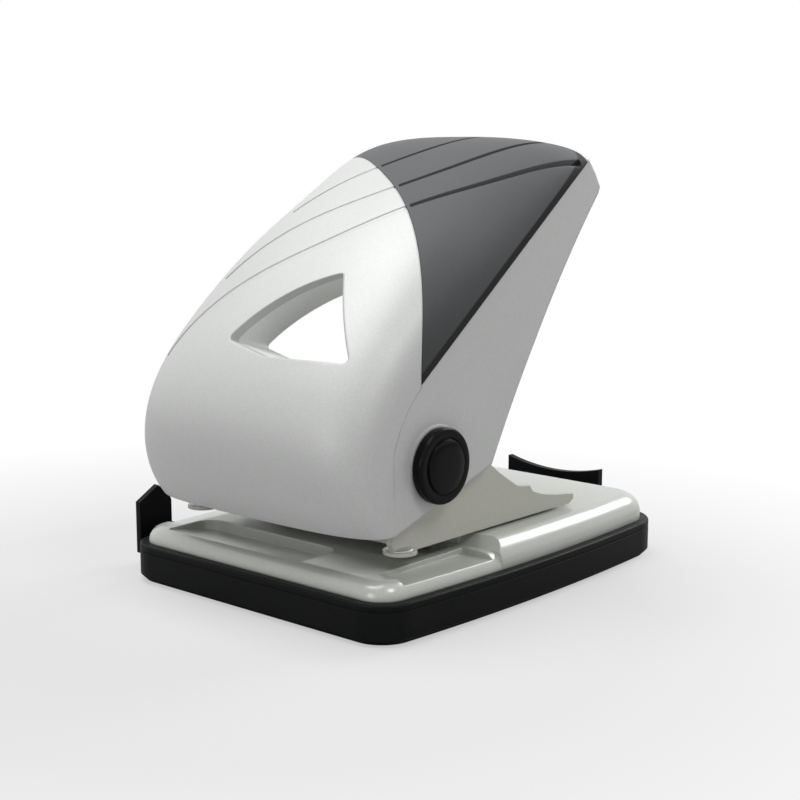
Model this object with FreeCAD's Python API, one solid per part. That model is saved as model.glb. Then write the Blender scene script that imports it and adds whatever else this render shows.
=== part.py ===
"""Two-hole desk punch with a tall hooded handle, in millimetres, +Z up.

The bench touches the skirt's underside at Z = 0. X runs across the punch, Y from
the side where paper goes in (low Y) to the back. Every piece is moved along Y when it
is written, so that the origin lies under the middle of the skirt's front wall.
"""
import FreeCAD, Part
import math
import os

V = FreeCAD.Vector

# ---- driving dimensions -------------------------------------------------------------
# skirt and base, seen from above
skirt_depth = 173.0
skirt_front_y = -1.8
skirt_front_half = 66.0
skirt_middle_half = 70.0
skirt_rear_half = 65.5
skirt_front_radius = 14.0
skirt_rear_radius = 20.0
skirt_height = 14.2
skirt_wall = 9.0
bead_below_top = 2.9
bead_depth = 0.4
bead_width = 0.8
skirt_chamfer = 2.2
skirt_top_radius = 0.8
lip_height = 2.6
lip_wall = 2.0

base_inset = 3.5
base_wall = 2.2
deck_z = 20.5
platform_rise = 4.0
paper_slot_height = 5.0
deck_edge_radius = 6.0
platform_edge_radius = 8.0
corner_thickening = 3.5
stop_y = 61.5
stop_slope = 1.1
plateau_half = 46.0
plateau_corner_radius = 12.0
snap_gap = 0.3

# finger room in the deck
scoop_left, scoop_right = -50.0, 20.0
scoop_front_y = 3.6
scoop_depth = 4.2
hollow_skin = 1.5
scoop_corner_radius = 7.0
dip_depth = 2.0
dip_front_y, dip_rear_y = 13.0, 58.0
dip_half = 51.0

# punching
hole_spacing = 80.0
pin_diameter = 6.0
pin_arm = 13.5
pivot_y = 36.1
pivot_rise = 29.9
handle_stroke = 40.0
die_plate_end = 7.0
die_plate_width = 13.0
die_plate_thickness = 2.0
die_plate_seat = 0.05
die_clearance = 0.05
chip_hole_room = 3.0
die_screw_offset = 24.0
screw_head_diameter = 5.0
screw_head_height = 1.3
screw_shank_diameter = 2.4
screw_length = 5.0
screw_seat = 0.03
pin_tip_above_slot = 0.3
pin_head_gap = 0.1
fixed_fit = 0.02

# punch frame
frame_gap = 0.3
sheet = 2.5
frame_front_y, frame_rear_y = 30.0, 121.0
frame_corner = 2.0
frame_boss_radius = 13.0
frame_foot_radius = 6.0
frame_foot_y = 24.0
rivet_diameter = 5.0
rivet_head_diameter = 9.0
rivet_head_height = 1.6
rivet_tail_height = 1.5
rivet_x = 30.0
rivet_rows = (80.0, 108.0)

bush_wall = 2.0
bush_flange_step = 0.5
bush_flange = 1.5
bush_height = 9.0
collar_wall = 2.5
collar_thickness = 1.5
collar_below_head = 1.6
spring_wire = 1.0
spring_room = 0.8
spring_turns = 6

# handle
handle_side_room = 17.0
skin = 1.8
shell_wall = 2.2
pad_gap = 0.15
lip_radius = 1.5
handle_bottom_z = 34.0
shaft_diameter = 8.0
shaft_clearance = 0.06
clip_diameter = 13.0
clip_thickness = 0.8
clip_groove = 0.6
bearing_diameter = 18.0
bearing_flange_step = 2.0
bearing_flange = 0.7
cap_diameter = 26.8
cap_flange = 4.2
cap_edge_radius = 1.2
cap_step = 4.4
cap_disc = 0.8
cap_disc_edge_radius = 0.5
cap_top_wall = 1.5
cap_seat_gap = 0.4
clip_room = 1.2
press_bar_diameter = 8.0
lever_gap = 1.0
lever_boss_radius = 9.0
lever_bar_radius = 7.0
lever_screw_x = 25.0
lever_screw_diameter = 4.0
lever_screw_depth = 8.0
lever_screw_head = 7.5
lever_screw_head_height = 2.4
lever_boss_wall = 2.5
lever_web_front, lever_web_rear = (61.0, 116.5), (83.0, 124.5)
groove_width = 2.0
groove_depth = 1.5
groove_end = 1.8
hood_groove_depth = 0.35
window_depth = 18.5
window_fall = 0.26
window_wall = 2.0

# paper side guide
guide_y = 23.5
guide_width = 7.0
guide_thickness = 1.9
guide_below_rim = 0.8
guide_overhang = 8.8
guide_inner_x = 30.0
guide_play = 0.2
track_wall = 1.3
track_half = 46.0
stop_thickness = 2.5
stop_socket = 5.0
stop_socket_wall = 1.5

# chip tray
tray_gap = 0.8
tray_front_gap = 2.0
tray_lift = 0.8
tray_floor = 1.8
tray_headroom = 1.0
tray_hinge_y, tray_hinge_z = 14.0, 4.0
tray_pin_diameter = 3.6
tray_pin_clearance = 0.08
tab_half = 24.5
tab_notch_gap = 0.5
tab_reach = 16.0
tab_thickness = 3.0
tab_end_z, tab_middle_z = 24.8, 21.4
tab_shelf_z = 9.0

# The hood is a fan of arched sections. All their planes pass through one line across
# the punch, at fan_y and fan_z. Each station gives the plane's angle, the arch's
# radius on the middle line, its rise from the side panels, and how square it is.
fan_y, fan_z = 90.0, 45.0
fan_root = 8.0
stations = [
    (196, 78.0, 11.0, 3.6),
    (190, 86.4, 14.0, 3.5),
    (178, 97.9, 19.5, 3.4),
    (166, 102.4, 23.8, 3.25),
    (154, 101.0, 26.4, 3.1),
    (142, 98.2, 28.2, 2.95),
    (130, 97.4, 29.4, 2.8),
    (118, 99.2, 30.3, 2.65),
    (106, 103.6, 31.0, 2.5),
    (94, 111.2, 29.5, 2.45),
    (82, 122.0, 24.0, 2.6),
    (70, 126.0, 9.0, 3.2),
    (60, 125.0, 5.0, 3.2),
]
arch_spans = 24

# side view of the handle (y, z)
panel_front_y = 14.4
panel_rear_low = (66.9, 50.8)
panel_rear_middle = (94.6, 97.0)
panel_rear_top = (132.4, 145.8)
panel_corner = (133.5, 148.1)
panel_shoulder = (130.6, 153.2)
lip_front = (28.6, 83.5)
lip_rear = (125.5, 157.8)
crown_rear_y = 126.6
left_rear_middle = (60.5, 80.0)
left_rear_top = (101.0, 106.0)
crease_middle = (19.6, 73.6)
crease_low = (14.0, 62.0)

# plan view of the grip pad's front edge and of the three grooves (x, y)
pad_edge = [(62, 18), (56.8, 28), (44, 42.2), (19, 61.8), (-12, 81.8), (-33, 95.2), (-62, 112)]
grooves = [
    [(-34, 58), (-21.5, 72), (-8, 85), (5.5, 102), (13.5, 124)],
    [(-40, 28), (-18.5, 47.5), (10.5, 70), (27, 91.5), (38, 122)],
    [(-47, 5), (-22, 24), (3, 40.5), (25, 62), (43.5, 89.5), (55.5, 121)],
]

# window through the hood, drawn on the plane y = 0 and pushed along its tunnel (x, z)
window_left = (-13.4, 97.3)
window_bulge = (-2.0, 113.4)
window_top = (20.4, 127.2)
window_right = (43.6, 93.9)
window_low = (8.0, 92.6)
window_radius = 1.6

# ---- values worked out from them ----------------------------------------------------
platform_z = deck_z + platform_rise
plateau_z = deck_z + paper_slot_height
pivot_z = plateau_z + pivot_rise
pin_x = hole_spacing / 2
pin_y = pivot_y + pin_arm
bar_radius = press_bar_diameter / 2
skirt_rear_y = skirt_front_y + skirt_depth
middle_y = skirt_front_y + skirt_depth / 2
origin_y = skirt_front_y + skirt_wall / 2
half_stroke = math.radians(handle_stroke / 2)
bar_y = pivot_y + pin_arm * math.cos(half_stroke)
bar_z = pivot_z + pin_arm * math.sin(half_stroke)
pin_head_z = bar_z - bar_radius - pin_head_gap
pin_tip_z = plateau_z + pin_tip_above_slot
handle_half = pin_x + handle_side_room
shell_inset = skin + shell_wall
panel_inner = handle_half - shell_inset
frame_half = panel_inner - bearing_flange - frame_gap
frame_inner = frame_half - sheet
lever_outer = frame_inner - lever_gap
lever_inner = lever_outer - sheet
floor_z = plateau_z + sheet
bush_top_z = plateau_z + bush_height
collar_z = pin_head_z - collar_below_head - collar_thickness
clip_x = handle_half + 0.5
shaft_half = clip_x + clip_thickness + 0.5
die_plate_half = pin_x + die_plate_end
bush_diameter = pin_diameter + 2 * bush_wall
rivet_tail_z = platform_z - base_wall
guide_z = skirt_height - guide_below_rim - guide_thickness
guide_outer_x = -skirt_front_half - guide_overhang
track_low_z = guide_z - guide_play - track_wall
track_rear_y = guide_y + guide_width / 2 + guide_play + track_wall
scoop_rear_y = track_rear_y - hollow_skin
tray_height = track_low_z - tray_headroom


# ---- helpers --------------------------------------------------------------------------
def box(x0, x1, y0, y1, z0, z1):
    return Part.makeBox(x1 - x0, y1 - y0, z1 - z0, V(x0, y0, z0))


def rod_x(radius, x0, x1, y, z):
    return Part.makeCylinder(radius, x1 - x0, V(x0, y, z), V(1, 0, 0))


def rod_z(radius, x, y, z0, z1):
    return Part.makeCylinder(radius, z1 - z0, V(x, y, z0))


def prism_x(outline, x0, x1):
    """A side-view outline of (y, z) points, pushed across from x0 to x1."""
    points = [V(x0, y, z) for y, z in outline]
    face = Part.Face(Part.makePolygon(points + points[:1]))
    return face.extrude(V(x1 - x0, 0, 0))


def spline(points):
    curve = Part.BSplineCurve()
    curve.interpolate(points)
    return curve.toShape()


def both_sides(shape):
    return [shape, shape.mirror(V(0, 0, 0), V(1, 0, 0))]


def fuse_all(shapes):
    first = shapes[0]
    for other in shapes[1:]:
        first = first.fuse(other)
    return first.removeSplitter()


def edges_at(shape, z):
    """The edges that lie wholly at one height."""
    flat = []
    for edge in shape.Edges:
        box_of_edge = edge.BoundBox
        if abs(box_of_edge.ZMin - z) < 1e-4 and abs(box_of_edge.ZMax - z) < 1e-4:
            flat.append(edge)
    return flat


def plan_block(inset, z0, z1):
    """The skirt's plan shape, drawn in by inset, between two heights."""
    front_y, rear_y = skirt_front_y, skirt_rear_y
    front = [V(-skirt_front_half, front_y, z0), V(skirt_front_half, front_y, z0)]
    rear = [V(skirt_rear_half, rear_y, z0), V(-skirt_rear_half, rear_y, z0)]
    right = Part.Arc(front[1], V(skirt_middle_half, middle_y, z0), rear[0]).toShape()
    left = Part.Arc(rear[1], V(-skirt_middle_half, middle_y, z0), front[0]).toShape()
    front_line = Part.makeLine(front[0], front[1])
    rear_line = Part.makeLine(rear[0], rear[1])
    wire = Part.Wire([front_line, right, rear_line, left])
    if inset:
        wire = wire.makeOffset2D(-inset, 2)
    block = Part.Face(wire).extrude(V(0, 0, z1 - z0))
    corners = [[], []]
    for edge in block.Edges:
        bounds = edge.BoundBox
        upright = bounds.ZLength > z1 - z0 - 1e-6 and bounds.XLength < 1e-6
        if upright:
            corners[bounds.YMin > middle_y].append(edge)
    block = block.makeFillet(max(skirt_front_radius - inset, 1.0), corners[0])
    corner = []
    for edge in block.Edges:
        bounds = edge.BoundBox
        upright = bounds.ZLength > z1 - z0 - 1e-6 and bounds.XLength < 1e-6
        if upright and bounds.YMin > skirt_rear_y - inset - 1:
            corner.append(edge)
    return block.makeFillet(max(skirt_rear_radius - inset, 1.0), corner)


# ---- skirt and chip tray --------------------------------------------------------------
def skirt_ring():
    outer = plan_block(0, 0, skirt_height)
    outer = outer.makeChamfer(skirt_chamfer, edges_at(outer, 0))
    outer = outer.makeFillet(skirt_top_radius, edges_at(outer, skirt_height))
    ring = outer.cut(plan_block(skirt_wall, -1, skirt_height + 1))
    bead_z = skirt_height - bead_below_top
    bead = plan_block(-1, bead_z, bead_z + bead_width)
    bead = bead.cut(plan_block(bead_depth, bead_z - 1, bead_z + bead_width + 1))
    return ring.cut(bead)


def tab_notch(gap):
    half = tab_half + gap
    return box(-half, half, middle_y, skirt_rear_y + 5, -1, skirt_height + 10)


def hinge_pins(gap):
    """The tray's two hinge pins, in the skirt's side walls, with room around them."""
    inner_x = skirt_front_half - skirt_wall - 3
    outer_x = skirt_front_half - skirt_wall + 4 + gap
    pin = rod_x(tray_pin_diameter / 2 + gap, inner_x, outer_x, tray_hinge_y, tray_hinge_z)
    return both_sides(pin)


def base_skirt():
    lip_outer = base_inset + base_wall + snap_gap
    lip = plan_block(lip_outer, skirt_height - 1, skirt_height + lip_height)
    lip = lip.cut(plan_block(lip_outer + lip_wall, skirt_height - 2, skirt_height + lip_height + 1))
    ring = skirt_ring().fuse(lip).removeSplitter()
    ring = ring.cut(tab_notch(tab_notch_gap))
    ring = ring.cut(guide_notch())
    for pin in hinge_pins(tray_pin_clearance):
        ring = ring.cut(pin)
    return ring


def chip_tray():
    inset = skirt_wall + tray_gap
    pan = plan_block(inset, tray_lift, tray_height)
    pan = pan.cut(plan_block(inset + tray_floor, tray_lift + tray_floor, tray_height + 1))
    front_y = skirt_front_y + skirt_wall + tray_front_gap
    pan = pan.cut(box(-90, 90, -9, front_y, -1, 30))
    front_wall = box(-90, 90, front_y, front_y + tray_floor, tray_lift, tray_height)
    pan = pan.fuse(front_wall.common(plan_block(inset, tray_lift, tray_height)))
    block = skirt_ring().common(tab_notch(0)).cut(box(-90, 90, 0, 999, -1, tray_lift))
    inside_y = skirt_rear_y - skirt_wall
    bridge = box(-tab_half, tab_half, inside_y - tray_gap - 1, inside_y + 1, tray_lift, tray_height)
    rear_y = skirt_rear_y + tab_reach
    shelf = box(-tab_half, tab_half, skirt_rear_y - 2, rear_y, tab_shelf_z,
                tab_shelf_z + tab_thickness)
    upright = box(-tab_half, tab_half, rear_y - tab_thickness, rear_y, tab_shelf_z, tab_end_z)
    dip = tab_end_z - tab_middle_z
    dip_radius = (tab_half ** 2 + dip ** 2) / (2 * dip)
    upright = upright.cut(Part.makeCylinder(dip_radius, tab_thickness + 2,
                                            V(0, rear_y - tab_thickness - 1, tab_middle_z + dip_radius),
                                            V(0, 1, 0)))
    tray = fuse_all([pan, block, bridge, shelf, upright] + hinge_pins(0))
    return tray


# ---- base shell -----------------------------------------------------------------------
def finger_hollows(skin_round):
    """The thumb scoop at the front and the dips at both sides, drawn larger by a skin."""
    scoop_z = deck_z - scoop_depth - skin_round
    front_y, rear_y = scoop_front_y - skin_round, scoop_rear_y + skin_round
    outline = [(front_y, 40), (front_y, deck_z - skin_round), (rear_y, scoop_z), (rear_y, 40)]
    scoop = prism_x(outline, scoop_left - skin_round, scoop_right + skin_round)
    upright = [e for e in scoop.Edges if e.BoundBox.ZLength > 1 and e.BoundBox.YMin > rear_y - 1]
    scoop = scoop.makeFillet(scoop_corner_radius, upright)
    dip_z = deck_z - dip_depth - skin_round
    hollows = [scoop]
    for side in (-1, 1):
        x0, x1 = sorted((side * (dip_half - skin_round), side * 90))
        hollows.append(box(x0, x1, dip_front_y - skin_round, dip_rear_y + skin_round, dip_z, 40))
    return hollows


def guide_notch():
    """Where the side guide's bar passes out over the skirt, below the shell."""
    half = guide_width / 2 + guide_play
    return box(-90, 0, guide_y - half, guide_y + half, guide_z - guide_play, 40)


def in_front_of_stop(grow):
    """The room in front of the platform, whose front leans back above the deck."""
    foot_y, rise = stop_y + grow, 40
    top_z = deck_z + rise
    outline = [(-9, 0), (foot_y, 0), (foot_y, deck_z), (foot_y + rise * stop_slope, top_z), (-9, top_z)]
    return prism_x(outline, -90, 90)


def rounded_block(inset, z0, z1, radius):
    block = plan_block(inset, z0, z1)
    return block.makeFillet(radius, edges_at(block, z1))


def base_shell():
    deck = rounded_block(base_inset, skirt_height, deck_z, deck_edge_radius)
    platform = rounded_block(base_inset, skirt_height, platform_z, platform_edge_radius)
    platform = platform.cut(in_front_of_stop(0))
    plateau = box(-plateau_half, plateau_half, stop_y, frame_rear_y - frame_corner, deck_z, plateau_z)
    rear_edges = [e for e in plateau.Edges if e.BoundBox.ZLength > 1 and e.BoundBox.YMin > stop_y + 1]
    plateau = plateau.makeFillet(plateau_corner_radius, rear_edges)
    shell = deck.fuse(platform).fuse(plateau)
    for hollow in finger_hollows(0):
        shell = shell.cut(hollow)
    inner_inset = base_inset + base_wall
    room = rounded_block(inner_inset, skirt_height - 1, deck_z - base_wall,
                         deck_edge_radius - corner_thickening)
    high_room = rounded_block(inner_inset, skirt_height - 1, platform_z - base_wall,
                              platform_edge_radius - corner_thickening)
    high_room = high_room.cut(in_front_of_stop(base_wall))
    room = room.fuse(high_room)
    for hollow in finger_hollows(hollow_skin):
        room = room.cut(hollow)
    plate_pad = box(-die_plate_half - 3, die_plate_half + 3, pin_y - die_plate_width / 2 - 3,
                    pin_y + die_plate_width / 2 + 3, deck_z - die_plate_thickness - base_wall, 60)
    room = room.cut(plate_pad)
    shell = shell.cut(room).removeSplitter()
    shell = shell.cut(die_plate_blank(die_plate_seat))
    for side in (-1, 1):
        chip_hole = (pin_diameter + chip_hole_room) / 2
        shell = shell.cut(rod_z(chip_hole, side * pin_x, pin_y, 10, 30))
        screw_hole = screw_shank_diameter / 2 + screw_seat
        shell = shell.cut(rod_z(screw_hole, side * die_screw_offset, pin_y, 10, 30))
    for x, y in rivet_places():
        shell = shell.cut(rod_z(rivet_diameter / 2 + fixed_fit, x, y, 20, 30))
    return shell


def die_plate_blank(gap):
    half_width = die_plate_width / 2 + gap
    return box(-die_plate_half - gap, die_plate_half + gap, pin_y - half_width, pin_y + half_width,
               deck_z - die_plate_thickness, deck_z)


def die_screws(gap):
    """Countersunk screws, flush with the die plate."""
    screws = []
    shank_radius = screw_shank_diameter / 2 + gap
    head_z = deck_z - screw_head_height
    for side in (-1, 1):
        x = side * die_screw_offset
        head = Part.makeCone(shank_radius, screw_head_diameter / 2 + gap, screw_head_height,
                             V(x, pin_y, head_z))
        shank = rod_z(shank_radius, x, pin_y, deck_z - screw_length, head_z)
        slot = box(x - 3, x + 3, pin_y - 0.35, pin_y + 0.35, deck_z - 0.5, deck_z + 1)
        screw = head.fuse(shank).removeSplitter()
        screws.append(screw if gap else screw.cut(slot))
    return screws


def die_plate():
    plate = die_plate_blank(0)
    for side in (-1, 1):
        plate = plate.cut(rod_z(pin_diameter / 2 + die_clearance, side * pin_x, pin_y, 10, 30))
    for screw in die_screws(screw_seat):
        plate = plate.cut(screw)
    return plate


# ---- punch frame ----------------------------------------------------------------------
def rivet_places():
    return [(side * rivet_x, y) for side in (-1, 1) for y in rivet_rows]


def punch_frame():
    rises = [(frame_foot_y, 0), (frame_rear_y + 2, 0), (frame_rear_y + 4.6, 1.6), (frame_rear_y + 4.4, 3.5),
             (113.0, 5.1), (104.0, 7.0), (98.7, 9.0), (96.9, 11.5), (92.1, 12.0), (89.2, 12.7),
             (82.5, 16.7), (76.9, 20.3), (72.7, 23.5)]
    outline = [(y, plateau_z + rise) for y, rise in rises]
    outline += [(pivot_y + 11.9, pivot_z + 6.1), (pivot_y - 10.1, pivot_z + 6.6)]
    outline += [(y, plateau_z + rise) for y, rise in [(20, 11), (18.3, 4), (20, 1)]]
    plate = prism_x(outline, frame_inner, frame_half)
    plate = plate.fuse(rod_x(frame_boss_radius, frame_inner, frame_half, pivot_y, pivot_z))
    plate = plate.fuse(rod_z(frame_foot_radius, frame_inner + sheet / 2, frame_foot_y, plateau_z,
                             plateau_z + sheet / 2))
    floor_half = frame_half - sheet / 5
    floor = box(-floor_half, floor_half, frame_front_y, frame_rear_y - frame_corner, plateau_z, floor_z)
    frame = fuse_all(both_sides(plate.removeSplitter()) + [floor])
    frame = frame.cut(rod_x(shaft_diameter / 2 + fixed_fit, -90, 90, pivot_y, pivot_z))
    for side in (-1, 1):
        frame = frame.cut(rod_z(bush_diameter / 2 + fixed_fit, side * pin_x, pin_y, 20, 40))
    for x, y in rivet_places():
        frame = frame.cut(rod_z(rivet_diameter / 2 + fixed_fit, x, y, 20, 40))
    return frame


def frame_rivets():
    rivets = []
    head_radius = rivet_head_diameter / 2
    dome_radius = (head_radius ** 2 + rivet_head_height ** 2) / (2 * rivet_head_height)
    tail_end_z = rivet_tail_z - rivet_tail_height
    for x, y in rivet_places():
        shank = rod_z(rivet_diameter / 2, x, y, tail_end_z, floor_z)
        dome = Part.makeSphere(dome_radius, V(x, y, floor_z + rivet_head_height - dome_radius))
        disc = rod_z(head_radius, x, y, floor_z, floor_z + rivet_head_height + 1)
        tail = rod_z(rivet_diameter / 2 + 1.2, x, y, tail_end_z, rivet_tail_z)
        rivets.append(fuse_all([shank, disc.common(dome), tail]))
    return Part.makeCompound(rivets)


def guide_bush(side):
    x = side * pin_x
    body = rod_z(bush_diameter / 2, x, pin_y, plateau_z, bush_top_z)
    flange = rod_z(bush_diameter / 2 + bush_flange_step, x, pin_y, floor_z, floor_z + bush_flange)
    bush = body.fuse(flange).removeSplitter()
    return bush.cut(rod_z(pin_diameter / 2 + die_clearance, x, pin_y, 20, 60))


# ---- punch pins -----------------------------------------------------------------------
def punch_pin(side):
    """A pin with a notched cutting end and a chamfered flat head."""
    x = side * pin_x
    pin = rod_z(pin_diameter / 2, x, pin_y, pin_tip_z, pin_head_z)
    notch = Part.makeCylinder(4.2, 10, V(x - 5, pin_y, pin_tip_z - 3.2), V(1, 0, 0))
    return pin.makeChamfer(0.4, edges_at(pin, pin_head_z)).cut(notch)


def pin_collar(side):
    x = side * pin_x
    radius = pin_diameter / 2 + collar_wall
    ring = rod_z(radius, x, pin_y, collar_z, collar_z + collar_thickness)
    return ring.cut(rod_z(pin_diameter / 2, x, pin_y, 20, 80))


def return_spring(side):
    x = side * pin_x
    radius = pin_diameter / 2 + spring_room + spring_wire / 2
    low = bush_top_z + spring_wire / 2
    height = collar_z - spring_wire / 2 - low
    helix = Part.makeHelix(height / spring_turns, height, radius)
    profile = Part.Wire(Part.makeCircle(spring_wire / 2, V(radius, 0, 0), V(0, 1, 0)))
    coil = Part.Wire(helix.Edges).makePipeShell([profile], True, True)
    coil.translate(V(x, pin_y, low))
    return coil


# ---- handle ---------------------------------------------------------------------------
def hood_section(angle, radius, rise, squareness, inset):
    """One arched section of the hood, drawn in by inset from the outside."""
    half = handle_half - inset
    spring_line = radius - rise
    ray = V(0, math.cos(math.radians(angle)), math.sin(math.radians(angle)))
    middle = V(0, fan_y, fan_z)

    def place(x, distance):
        return middle + V(x, 0, 0) + ray * distance

    arch = []
    steps = [step / arch_spans for step in range(arch_spans + 1)]
    for step in steps:
        turn = math.pi * (1 - step)
        across, up = math.cos(turn), math.sin(turn)
        reach = (abs(across) ** squareness + abs(up) ** squareness) ** (-1 / squareness)
        arch.append(place(half * reach * across, spring_line + (rise - inset) * reach * up))
    left_foot, right_foot = place(-half, fan_root), place(half, fan_root)
    arch_curve = Part.BSplineCurve()
    arch_curve.interpolate(Points=arch, Parameters=steps)
    arch_edge = arch_curve.toShape()
    return Part.Wire([Part.makeLine(left_foot, arch[0]), arch_edge,
                      Part.makeLine(arch[-1], right_foot), Part.makeLine(right_foot, left_foot)])


def hood_solid(inset):
    wires = [hood_section(*station, inset) for station in stations]
    return Part.makeLoft(wires, True, False)


def side_outline():
    """What the handle keeps, seen from the side, pushed right across."""
    z_top = 190
    low_front = V(-90, -20, handle_bottom_z)
    low = V(-90, panel_front_y, handle_bottom_z)
    rear_low = V(-90, *panel_rear_low)
    rear_top = V(-90, *panel_rear_top)
    corner = V(-90, *panel_corner)
    shoulder = V(-90, *panel_shoulder)
    crown = V(-90, crown_rear_y, lip_rear[1] + 0.5)
    crown_top = V(-90, crown_rear_y + 2, z_top)
    front_top = V(-90, -20, z_top)
    edges = [
        Part.makeLine(low_front, low),
        Part.makeLine(low, rear_low),
        Part.Arc(rear_low, V(-90, *panel_rear_middle), rear_top).toShape(),
        Part.makeLine(rear_top, corner),
        Part.makeLine(corner, shoulder),
        Part.makeLine(shoulder, crown),
        Part.makeLine(crown, crown_top),
        Part.makeLine(crown_top, front_top),
        Part.makeLine(front_top, low_front),
    ]
    return Part.Face(Part.Wire(edges)).extrude(V(180, 0, 0))


def left_panel_hollow():
    """The left panel's rear edge is hollowed forward, behind the window."""
    low, high = V(-90, *panel_rear_low), V(-90, *left_rear_top)
    rear = V(-90, left_rear_top[0] + 40, panel_rear_low[1])
    arc = Part.Arc(low, V(-90, *left_rear_middle), high).toShape()
    face = Part.Face(Part.Wire([arc, Part.makeLine(high, rear), Part.makeLine(rear, low)]))
    return face.extrude(V(90 - handle_half + 3 * shell_inset, 0, 0))


def slope_line():
    """The straight lower edge of the hood's overhang, as a direction in side view."""
    dy, dz = lip_rear[0] - lip_front[0], lip_rear[1] - lip_front[1]
    return dy, dz


def panel_tool():
    """The side area below the overhang, where the panels lie deeper than the hood.

    Its inner face leans, from flush at the low front to a full skin's depth at the
    overhang."""
    far = 1.4
    dy, dz = slope_line()
    end = V(0, lip_front[0] + dy * far, lip_front[1] + dz * far)
    rear_low = V(0, end.y + 60, 20)
    front_low = V(0, panel_front_y, 20)
    crease_start, crease_end = V(0, *lip_front), V(0, *crease_low)
    crease = Part.Arc(crease_start, V(0, *crease_middle), crease_end).toShape()
    edges = [Part.makeLine(crease_start, end), Part.makeLine(end, rear_low),
             Part.makeLine(rear_low, front_low), Part.makeLine(front_low, crease_end), crease]
    slab = Part.Face(Part.Wire(Part.sortEdges(edges)[0])).extrude(V(60, 0, 0))
    reach = 220
    near = handle_half - skin * 0.85
    top = handle_half - skin
    rise_z = (near - handle_half) / (lip_front[1] - 40.0)
    along = ((top - near) - rise_z * dz) / dy
    corner = V(handle_half - along * 60 + rise_z * -40, panel_front_y - 60, 0)
    side_y = V(along * reach, reach, 0)
    side_z = V(rise_z * reach, 0, reach)
    face = Part.Face(Part.makePolygon([corner, corner + side_y, corner + side_y + side_z,
                                       corner + side_z, corner]))
    wedge = face.extrude(V(20, 0, 0))
    seat = rod_x(cap_diameter / 2 + cap_seat_gap, 0, 90, pivot_y, pivot_z)
    return slab.common(wedge).cut(seat)


def plan_band(points, half_width):
    """A plan-view strip along a curve, pushed straight up."""
    curve = Part.BSplineCurve()
    curve.interpolate([V(x, y, 0) for x, y in points])
    count = 24
    left, right = [], []
    for step in range(count + 1):
        parameter = curve.FirstParameter + (curve.LastParameter - curve.FirstParameter) * step / count
        point = curve.value(parameter)
        along = curve.tangent(parameter)[0]
        across = V(-along.y, along.x, 0) * half_width
        left.append(point + across)
        right.append(point - across)
    wire = Part.Wire([spline(left), Part.makeLine(left[-1], right[-1]),
                      spline(right[::-1]), Part.makeLine(right[0], left[0])])
    return Part.Face(wire).extrude(V(0, 0, 200))


def pad_region(gap):
    """Everything behind the grip pad's front edge and above the overhang's line."""
    edge = spline([V(x, y + gap, 0) for x, y in pad_edge])
    first, last = edge.Vertexes[0].Point, edge.Vertexes[-1].Point
    rear = crown_rear_y - 1.5 - gap
    corners = [last, V(-90, last.y, 0), V(-90, rear, 0), V(90, rear, 0), V(90, first.y, 0), first]
    wire = Part.Wire([edge] + Part.makePolygon(corners).Edges)
    region = Part.Face(wire).extrude(V(0, 0, 200))
    far = 1.6
    dy, dz = slope_line()
    length = math.hypot(dy, dz)
    lift_y, lift_z = -dz / length * gap, dy / length * gap
    start = (lip_front[0] - dy * 0.3 + lift_y, lip_front[1] - dz * 0.3 + lift_z)
    end = (lip_front[0] + dy * far + lift_y, lip_front[1] + dz * far + lift_z)
    above = prism_x([start, end, (end[0], 400), (start[0] - 50, 400), (start[0] - 50, start[1])], -90, 90)
    return region.common(above)


def window_prism(grow, y0, y1):
    """The window's three-cornered shape, pushed back and down along its tunnel."""
    def at(point):
        return V(point[0], y0, point[1] - window_fall * y0)

    top, left, bulge = at(window_top), at(window_left), at(window_bulge)
    right, low = at(window_right), at(window_low)
    wire = Part.Wire([Part.makeLine(right, top), Part.Arc(top, bulge, left).toShape(),
                      Part.makeLine(left, low), Part.makeLine(low, right)])
    if grow:
        wire = wire.makeOffset2D(grow, 2)
    length = y1 - y0
    solid = Part.Face(wire).extrude(V(0, length, -window_fall * length))
    corners = [e for e in solid.Edges if e.BoundBox.YLength > length - 1e-6]
    sharp = [e for e in corners if abs(e.CenterOfMass.x - window_low[0]) > 6]
    return solid.makeFillet(window_radius + grow, sharp)


def lever_screw_frame():
    """Middle of the cross plate's underside, and the direction out of its upper face."""
    (y0, z0), (y1, z1) = lever_web_front, lever_web_rear
    length = math.hypot(y1 - y0, z1 - z0)
    normal = V(0, -(z1 - z0) / length, (y1 - y0) / length)
    return V(0, (y0 + y1) / 2, (z0 + z1) / 2), normal


def handle_shell(outer, recess, inner, keep):
    shell = outer.cut(inner)
    base, normal = lever_screw_frame()
    for side in (-1, 1):
        start = base + V(side * lever_screw_x, 0, 0) + normal * sheet
        boss_radius = lever_screw_diameter / 2 + lever_boss_wall
        boss = Part.makeCylinder(boss_radius, 60, start, normal).common(recess)
        shell = shell.fuse(boss)
    shell = shell.cut(window_prism(0, -40, 90))
    pocket = outer.cut(recess).common(pad_region(0))
    shell = shell.cut(pocket)
    for tool in both_sides(panel_tool()):
        shell = shell.cut(tool)
    shell = shell.common(keep)
    shell = shell.cut(left_panel_hollow())
    for screw in lever_screws():
        shell = shell.cut(screw)
    return shell.cut(rod_x(bearing_diameter / 2, -90, 90, pivot_y, pivot_z))


def window_sleeve(inner):
    """The walls that carry the window on inside the hood, down to an even depth."""
    behind = inner.copy()
    further = window_depth - shell_inset
    behind.translate(V(0, further, -window_fall * further))
    walls = window_prism(window_wall, -25, 60).common(inner).cut(behind)
    return walls.cut(window_prism(0, -40, 90))


def groove_bands():
    return [plan_band(points, groove_width / 2) for points in grooves]


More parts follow.
